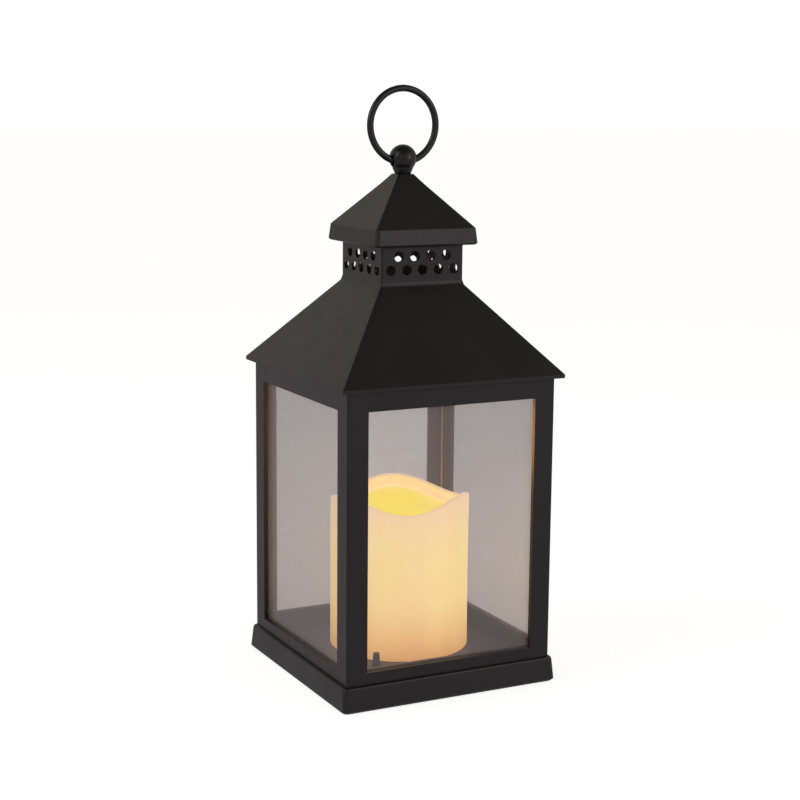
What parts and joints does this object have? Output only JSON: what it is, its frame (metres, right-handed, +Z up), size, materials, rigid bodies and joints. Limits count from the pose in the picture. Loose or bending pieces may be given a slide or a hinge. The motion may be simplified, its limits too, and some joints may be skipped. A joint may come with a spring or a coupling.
{
  "type": "solar lantern",
  "caption": "Square black plastic lantern with clear windows, a pyramid roof with vent holes, a hanging ring and a glowing wax-look LED candle inside.",
  "frame": {"origin": "centre of the square base, on the plane the rubber feet stand on", "axes": "+Z up through the ball and ring; -Y is the front; the hanging ring lies in the XZ plane; the solar panel is on the +Y roof slope"},
  "size_m": [0.1068, 0.1068, 0.2634],
  "materials": {
    "black_plastic": "fine satin moulded black",
    "satin_plastic": "smooth satin black",
    "clear_pane": "clear polished sheet",
    "candle_wax": "waxy ivory, glowing warm from inside",
    "white_plastic": "plain moulded white",
    "solar_cell": "dark blue cells under clear resin",
    "foam": "closed-cell adhesive foam",
    "lead_sleeve": "thin copper-brown sleeve",
    "foot_rubber": "matt",
    "screw_steel": "bright zinc",
    "contact_metal": "nickel plate",
    "cell_sleeve": "shrink sleeve, plain",
    "board_green": "solder mask",
    "chip_black": "moulded resin",
    "coil_copper": "enamelled copper wire",
    "led_lens": "clear warm lens"
  },
  "bodies": {
    "root": {"base_plinth": "black_plastic", "feet": "foot_rubber", "base_screws": "screw_steel", "wall_frame": "black_plastic", "pane_front": "clear_pane", "pane_rear": "clear_pane", "pane_left": "clear_pane", "pane_right": "clear_pane", "roof": "black_plastic", "roof_screws": "screw_steel", "cap": "black_plastic", "finial_base": "satin_plastic", "finial_top": "satin_plastic", "finial_screw": "screw_steel", "solar_panel": "solar_cell", "solar_gasket": "foam", "solar_lead": "lead_sleeve", "candle_shell": "candle_wax", "candle_chassis": "white_plastic", "candle_screws": "screw_steel", "rechargeable_cell": "cell_sleeve", "cell_contact": "contact_metal", "spring_plate": "contact_metal", "cell_spring": "contact_metal", "switch_body": "contact_metal", "control_board": "board_green", "control_chip": "chip_black", "step_up_coil": "coil_copper", "lamp_post": "white_plastic", "led_lamp": "led_lens", "led_legs": "contact_metal"},
    "ring": {"hanging_ring": "satin_plastic"},
    "door": {"battery_door": "white_plastic"},
    "switch": {"switch_knob": "black_plastic"}
  },
  "joints": [
    {"name": "ring_swing", "type": "hinge", "parent": "root", "child": "ring", "pos_m": [0, 0, 0.2305], "axis": [1, 0, 0], "range_deg": [-135, 135]},
    {"name": "door_slide", "type": "slide", "parent": "root", "child": "door", "axis": [0, 1, 0], "range_m": [0, 0.016]},
    {"name": "switch_slide", "type": "slide", "parent": "root", "child": "switch", "axis": [1, 0, 0], "range_m": [-0.003, 0]}
  ]
}
